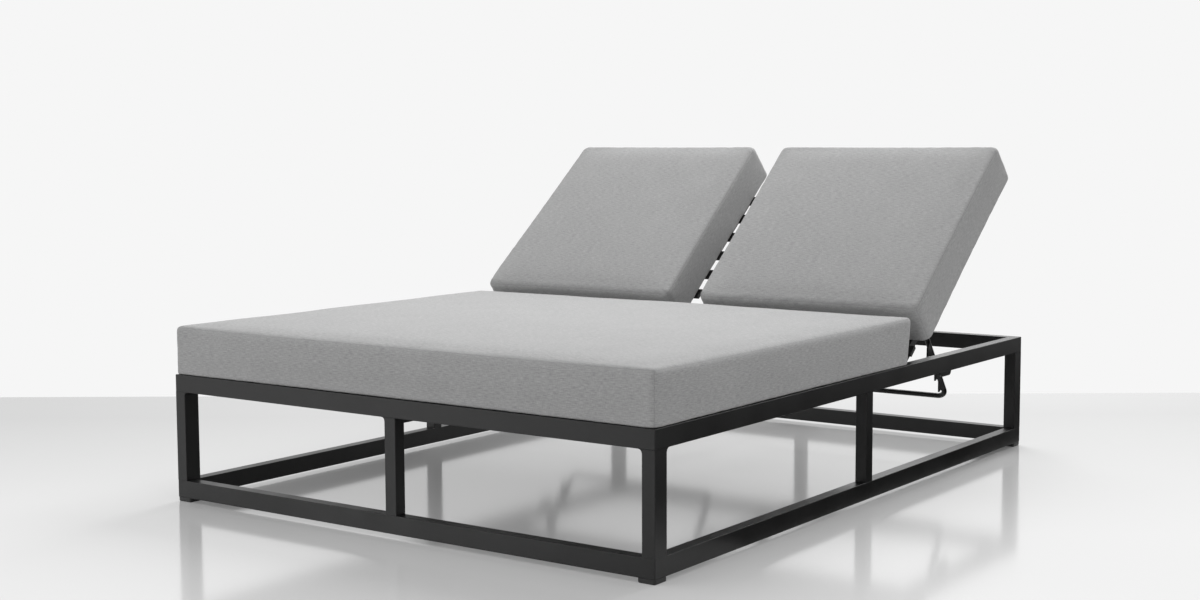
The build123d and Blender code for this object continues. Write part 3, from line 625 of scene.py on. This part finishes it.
# Name, body, place, form, swell, seed of its folds, wall with the zip (-1 start, 1 end), half the zip's length
cushions = (
    ("seat", "base", seat_place, seat_form, 0.006, 11, 1, 0.60),
    ("right_back", "right_back", right_place, right_form, 0.005, 21, -1, 0.29),
    ("left_back", "left_back", left_place, left_form, 0.005, 31, -1, 0.29),
)
pads = [sewn_cushion(name, body, place, form, swell, seed) for name, body, place, form, swell, seed, _, _ in cushions]


# Zips: the covers come off, so each has a coil zip along the wall that faces the other cushion

TAPE_HALF_WIDTH = 0.0105
STITCHES_FROM_TEETH = 0.0075


def row_on_pad_tree():
    """Sets one small rounded part after another along a line, on a pad's surface: a stitch or a zip tooth."""
    tree = bpy.data.node_groups.new("row_on_pad", "GeometryNodeTree")
    tree.interface.new_socket(name="Line", in_out="INPUT", socket_type="NodeSocketGeometry")
    tree.interface.new_socket(name="Pad", in_out="INPUT", socket_type="NodeSocketObject")
    for size in ("Pitch", "Length", "Width", "Height", "Stagger", "Lift"):
        tree.interface.new_socket(name=size, in_out="INPUT", socket_type="NodeSocketFloat")
    tree.interface.new_socket(name="Finish", in_out="INPUT", socket_type="NodeSocketMaterial")
    tree.interface.new_socket(name="Row", in_out="OUTPUT", socket_type="NodeSocketGeometry")
    given = add_node(tree, "NodeGroupInput").outputs
    pad = add_node(tree, "GeometryNodeObjectInfo", links={"Object": given["Pad"]}).outputs["Geometry"]
    line = add_node(tree, "GeometryNodeMeshToCurve", links={0: given["Line"]})
    spots = add_node(tree, "GeometryNodeCurveToPoints", settings={"mode": "LENGTH"},
        links={"Curve": line.outputs[0], "Length": given["Pitch"]})
    facing = add_node(tree, "GeometryNodeInputNormal").outputs["Normal"]
    out = add_node(tree, "GeometryNodeSampleNearestSurface", settings={"data_type": "FLOAT_VECTOR"},
        links={"Mesh": pad, "Value": facing}).outputs["Value"]
    sideways = add_node(tree, "ShaderNodeVectorMath", settings={"operation": "CROSS_PRODUCT"},
        links={0: out, 1: spots.outputs["Tangent"]})
    turn = add_node(tree, "ShaderNodeMath", settings={"operation": "MODULO"}, values={1: 2.0},
        links={0: add_node(tree, "GeometryNodeInputIndex").outputs[0]})
    left_or_right = add_node(tree, "ShaderNodeMath", settings={"operation": "SUBTRACT"}, values={1: 0.5},
        links={0: turn.outputs[0]})
    step = add_node(tree, "ShaderNodeMath", settings={"operation": "MULTIPLY"},
        links={0: left_or_right.outputs[0], 1: given["Stagger"]})
    apart = add_node(tree, "ShaderNodeVectorMath", settings={"operation": "SCALE"},
        links={0: sideways.outputs["Vector"], "Scale": step.outputs[0]})
    raised = add_node(tree, "ShaderNodeVectorMath", settings={"operation": "SCALE"},
        links={0: out, "Scale": given["Lift"]})
    offset = add_node(tree, "ShaderNodeVectorMath", settings={"operation": "ADD"},
        links={0: apart.outputs["Vector"], 1: raised.outputs["Vector"]})
    on_cloth = add_node(tree, "GeometryNodeProximity", settings={"target_element": "FACES"},
        links={0: pad}).outputs["Position"]
    settled = add_node(tree, "GeometryNodeSetPosition",
        links={"Geometry": spots.outputs["Points"], "Position": on_cloth, "Offset": offset.outputs["Vector"]})
    bead = add_node(tree, "GeometryNodeMeshUVSphere", values={"Segments": 6, "Rings": 4, "Radius": 0.5})
    size = add_node(tree, "ShaderNodeCombineXYZ",
        links={"X": given["Length"], "Y": given["Width"], "Z": given["Height"]})
    along = add_node(tree, "FunctionNodeAxesToRotation", settings={"primary_axis": "Z", "secondary_axis": "X"},
        links={0: out, 1: spots.outputs["Tangent"]})
    parts = add_node(tree, "GeometryNodeInstanceOnPoints", links={
        "Points": settled.outputs["Geometry"], "Instance": bead.outputs["Mesh"],
        "Rotation": along.outputs[0], "Scale": size.outputs["Vector"]})
    real = add_node(tree, "GeometryNodeRealizeInstances", links={0: parts.outputs[0]})
    rounded = add_node(tree, "GeometryNodeSetShadeSmooth", links={0: real.outputs[0]})
    finished = add_node(tree, "GeometryNodeSetMaterial",
        links={"Geometry": rounded.outputs[0], "Material": given["Finish"]})
    add_node(tree, "NodeGroupOutput", links={"Row": finished.outputs["Geometry"]})
    return tree


row_tree = row_on_pad_tree()
row_inputs = {item.name: item.identifier for item in row_tree.interface.items_tree if item.in_out == "INPUT"}


def row_on_pad(name, lines, body, values):
    """One mesh of stitches or teeth along some lines of points."""
    mesh = bpy.data.meshes.new(name + "_line")
    points, edges = [], []
    for line in lines:
        edges += [(len(points) + i, len(points) + i + 1) for i in range(len(line) - 1)]
        points += [tuple(p) for p in line]
    mesh.from_pydata(points, edges, [])
    piece = link_piece(name, mesh)
    rule = piece.modifiers.new("row", "NODES")
    rule.node_group = row_tree
    for key, value in values.items():
        rule[row_inputs[key]] = value
    apply_modifiers(piece)
    settle(piece, body)


def zip_tape(name, surface, line, across, body):
    """The woven tape, laid on the wall of the cushion, its edges sewn down."""
    half = ((-1.0, -0.0004), (-0.93, 0.0004), (-0.5, 0.0006))
    profile = half + ((0.0, 0.0006),) + tuple((-share, height) for share, height in reversed(half))
    points, faces = [], []
    for place in line:
        for share, height in profile:
            spot, normal, _, _ = surface.find_nearest(place + across * share * TAPE_HALF_WIDTH)
            points.append(spot + normal * height)
    rows = len(profile)
    for i in range(len(line) - 1):
        for j in range(rows - 1):
            a = i * rows + j
            faces.append((a, a + rows, a + rows + 1, a + 1))
    mesh = bpy.data.meshes.new(name)
    mesh.from_pydata([tuple(p) for p in points], [], faces)
    shade_smooth(mesh)
    tape = link_piece(name, mesh, finishes["zip_tape"])
    thick = tape.modifiers.new("tape_thickness", "SOLIDIFY")
    thick.thickness, thick.offset = 0.0008, -1.0
    apply_modifiers(tape)
    settle(tape, body)


def zip_slider(name, place, along, down, out, body):
    """Slider body, bridge and hanging pull tab, each a rounded block."""
    blocks = (  # size and middle of the body, the bridge, the tab's eye and the tab
        ((0.0076, 0.0105, 0.0024), (0, 0, 0.0020)),
        ((0.0024, 0.0078, 0.0016), (0, 0.0004, 0.0038)),
        ((0.0040, 0.0050, 0.0011), (0, 0.0062, 0.0038)),
        ((0.0066, 0.0190, 0.0013), (0, 0.0172, 0.0030)),
    )
    work = bmesh.new()
    for size, centre in blocks:
        verts = bmesh.ops.create_cube(work, size=1.0)["verts"]
        bmesh.ops.scale(work, vec=size, verts=verts)
        bmesh.ops.translate(work, vec=centre, verts=verts)
        edges = list({e for v in verts for e in v.link_edges})
        bmesh.ops.bevel(work, geom=edges, offset=0.0005, segments=2, profile=0.7, affect="EDGES")
    work.transform(own_axes(place, along, down, out))
    slider = link_piece(name, closed_mesh(work, name), finishes["black_fastener"])
    settle(slider, body)


def coil_zip(name, body, pad, to_place, form, end, half_length):
    """A zip along the middle of an end wall of a cushion: tape, teeth, two rows of stitches and a slider."""

    def wall_line(height):
        box = np.array([(x, end * form.half_l, height) for x in np.linspace(-half_length, half_length, 60)])
        return [to_place @ Vector(p) for p in form.worn_form(box)]

    middle = form.edge_height / 2
    teeth_line = wall_line(middle)
    up_wall = to_place.to_3x3().col[2].copy()
    surface = BVHTree.FromObject(pad, bpy.context.evaluated_depsgraph_get())
    zip_tape(f"{name}_zip_tape", surface, teeth_line, up_wall, body)
    row_on_pad(f"{name}_zip_teeth", [teeth_line], body, {
        "Pad": pad, "Finish": finishes["black_plastic"], "Pitch": 0.0012, "Length": 0.0011, "Width": 0.0034,
        "Height": 0.0018, "Stagger": 0.0018, "Lift": 0.0009})
    stitch_lines = [wall_line(middle + way * STITCHES_FROM_TEETH) for way in (-1, 1)]
    row_on_pad(f"{name}_zip_stitches", stitch_lines, body, {
        "Pad": pad, "Finish": finishes["sewing_thread"], "Pitch": 0.0045, "Length": 0.0034, "Width": 0.0009,
        "Height": 0.0008, "Stagger": 0.0, "Lift": 0.0006})
    spot, normal, _, _ = surface.find_nearest(teeth_line[-2])
    down = (-up_wall + normal * up_wall.dot(normal)).normalized()
    zip_slider(f"{name}_zip_slider", spot, down.cross(normal), down, normal, body)


for pad, (name, body, place, form, _, _, end, half_length) in zip(pads, cushions):
    coil_zip(name, body, pad, place, form, end, half_length)


# Floor and light

def floor_material():
    """Pale polished floor that mirrors what stands on it, a little blurred; its tone is painted paler towards the
    camera, painted light for the fall of the studio light. Part of its tone is its own light for camera rays, painted
    light as on a lit studio table, so shadows stay soft."""
    material, tree = new_material("polished_pale_floor")
    place = add_node(tree, "ShaderNodeTexCoord").outputs["Object"]
    # Depth along the photograph's line of sight
    depth = add_node(tree, "ShaderNodeVectorMath", settings={"operation": "DOT_PRODUCT"},
        values={1: (-0.5814, 0.8137, 0)}, links={0: place})
    share = add_node(tree, "ShaderNodeMapRange", values={"From Min": -3.0, "From Max": 1.4},
        links={"Value": depth.outputs["Value"]})
    # Painted light: the tone runs from #f4f4f4 near the camera to #b2b2b2 far away, for the fall of the studio light
    # across the floor
    tone = add_node(tree, "ShaderNodeValToRGB", links={"Fac": share.outputs["Result"]})
    set_ramp(tone, [(0.0, srgb("#f4f4f4")), (0.5, srgb("#dedede")), (0.9, srgb("#b2b2b2"))])
    seen = add_node(tree, "ShaderNodeLightPath").outputs["Is Camera Ray"]
    # Painted light: camera rays see a share of the tone, 0.40 near and 0.08 far, as the floor's own glow, which
    # lightens the shadows on it
    own_light = add_node(tree, "ShaderNodeMapRange", values={"To Min": 0.40, "To Max": 0.08},
        links={"Value": share.outputs["Result"]})
    lit_share = add_node(tree, "ShaderNodeMath", settings={"operation": "MULTIPLY"},
        links={0: seen, 1: own_light.outputs["Result"]})
    paint = add_node(tree, "ShaderNodeMix", settings={"data_type": "RGBA"}, values={"B": (0, 0, 0, 1)},
        links={"Factor": lit_share.outputs[0], "A": tone.outputs["Color"]})
    haze = add_node(tree, "ShaderNodeTexNoise", values={"Scale": 1.5, "Detail": 2.0}, links={"Vector": place})
    dull = add_node(tree, "ShaderNodeMapRange", values={"To Min": 0.09, "To Max": 0.13},
        links={"Value": haze.outputs["Fac"]})
    shader = add_node(tree, "ShaderNodeBsdfPrincipled", values={"Specular IOR Level": 0.7}, links={
        "Base Color": paint.outputs["Result"], "Roughness": dull.outputs["Result"],
        "Emission Color": tone.outputs["Color"], "Emission Strength": lit_share.outputs[0]})
    add_node(tree, "ShaderNodeOutputMaterial", links={"Surface": shader.outputs["BSDF"]})
    return material


def gloss_shade_card_material():
    """Black sheet seen only in gloss, painted shade in the reflections on the rails: matt paper that gives nothing
    back, and isn't there from below.
    """
    material, tree = new_material("black_card")
    below = add_node(tree, "ShaderNodeNewGeometry").outputs["Backfacing"]
    paper = add_node(tree, "ShaderNodeBsdfDiffuse", values={"Color": srgb("#050505")})
    clear = add_node(tree, "ShaderNodeBsdfTransparent")
    sided = add_node(tree, "ShaderNodeMixShader",
        links={0: below, 1: paper.outputs["BSDF"], 2: clear.outputs["BSDF"]})
    add_node(tree, "ShaderNodeOutputMaterial", links={"Surface": sided.outputs["Shader"]})
    return material


# The photograph's camera, fitted to the edges of the base
CAMERA_PLACE = Vector((2.709924, -3.94566, 0.9429))
YAW, PITCH, ROLL = math.radians(35.552), math.radians(5.433), math.radians(-0.217)
FOCAL_PIXELS, IMAGE_WIDTH, SENSOR_WIDTH = 1705.746, 1200, 36
away = Vector((-math.sin(YAW), math.cos(YAW), 0))
level_right = Vector((math.cos(YAW), math.sin(YAW), 0))

FLOOR_BEHIND, FLOOR_ASIDE, FLOOR_EDGE = -8, 16, 6.22  # from the point under the camera; the edge is the horizon


def flat_sheet(name, corners, material):
    """A flat piece of the studio, which isn't part of the lounger."""
    mesh = bpy.data.meshes.new(name)
    mesh.from_pydata([tuple(c) for c in corners], [], [tuple(range(len(corners)))])
    sheet = link_piece(name, mesh, material)
    return sheet


camera_foot = Vector((CAMERA_PLACE.x, CAMERA_PLACE.y, 0))
floor_corners = [camera_foot + away * forth + level_right * aside for forth, aside in (
    (FLOOR_BEHIND, -FLOOR_ASIDE), (FLOOR_BEHIND, FLOOR_ASIDE), (FLOOR_EDGE, FLOOR_ASIDE), (FLOOR_EDGE, -FLOOR_ASIDE))]
flat_sheet("floor", floor_corners, floor_material())

# Plain pale studio: soft light all round, and a paler wall for the camera and for gloss
world = bpy.data.worlds.new("studio")
bpy.context.scene.world = world
world.use_nodes = True
studio = world.node_tree
studio.nodes.clear()
rays = add_node(studio, "ShaderNodeLightPath")
seen = add_node(studio, "ShaderNodeMath", settings={"operation": "MAXIMUM"},
    links={0: rays.outputs["Is Camera Ray"], 1: rays.outputs["Is Glossy Ray"]})
seen_any = add_node(studio, "ShaderNodeMath", settings={"operation": "MAXIMUM"},
    links={0: seen.outputs[0], 1: rays.outputs["Is Transmission Ray"]})
level = add_node(studio, "ShaderNodeMix", settings={"data_type": "RGBA"},
    values={"A": (0.56, 0.56, 0.56, 1), "B": srgb("#f6f6f6")}, links={"Factor": seen_any.outputs[0]})
sky = add_node(studio, "ShaderNodeBackground", values={"Strength": 1.0}, links={"Color": level.outputs["Result"]})
add_node(studio, "ShaderNodeOutputWorld", links={"Surface": sky.outputs["Background"]})


def soft_box(name, place, target, size, power):
    """A rectangular studio lamp turned to face a point."""
    lamp = bpy.data.lights.new(name, "AREA")
    lamp.shape = "RECTANGLE"
    lamp.size, lamp.size_y = size
    lamp.energy = power
    box = link_piece(name, lamp)
    box.location = place
    box.rotation_euler = (Vector(target) - Vector(place)).to_track_quat("-Z", "Y").to_euler()
    return box


soft_box("overhead_softbox", (-0.3, 2.5, 3.1), (0, -0.4, 0.4), (3.2, 3.2), 184)
soft_box("front_softbox", (-3.0, -4.4, 1.2), (0, -0.6, 0.3), (2.4, 1.6), 34)
soft_box("foot_softbox", (-0.2, -1.2, 2.4), (-0.1, -0.9, 0.4), (1.4, 1.0), 1.6).data.spread = math.radians(80)

# A black card laid on the floor beside the long right-hand rails keeps the pale floor out of their gloss; seen only
# in gloss, it is painted shade in the reflections on their right-hand faces
card_corners = [(x, y, 0.002) for x, y in ((0.77, -0.6), (3.4, -0.6), (3.4, 5.0), (0.77, 5.0))]
card = flat_sheet("black_card", card_corners, gloss_shade_card_material())
for ray in ("camera", "diffuse", "shadow", "transmission", "volume_scatter"):
    setattr(card, "visible_" + ray, False)

camera_data = bpy.data.cameras.new("photo_camera")
camera_data.sensor_fit = "HORIZONTAL"
camera_data.sensor_width = SENSOR_WIDTH
camera_data.lens = SENSOR_WIDTH * FOCAL_PIXELS / IMAGE_WIDTH
camera_data.clip_end = 200
camera = link_piece("photo_camera", camera_data)
forward = Vector((-math.sin(YAW) * math.cos(PITCH), math.cos(YAW) * math.cos(PITCH), -math.sin(PITCH)))
level_up = level_right.cross(forward)
image_right = math.cos(ROLL) * level_right + math.sin(ROLL) * level_up
image_up = -math.sin(ROLL) * level_right + math.cos(ROLL) * level_up
camera.matrix_world = own_axes(CAMERA_PLACE, image_right, image_up, -forward)
bpy.context.scene.camera = camera
bpy.context.scene.view_settings.view_transform = "Standard"

bpy.context.view_layer.update()
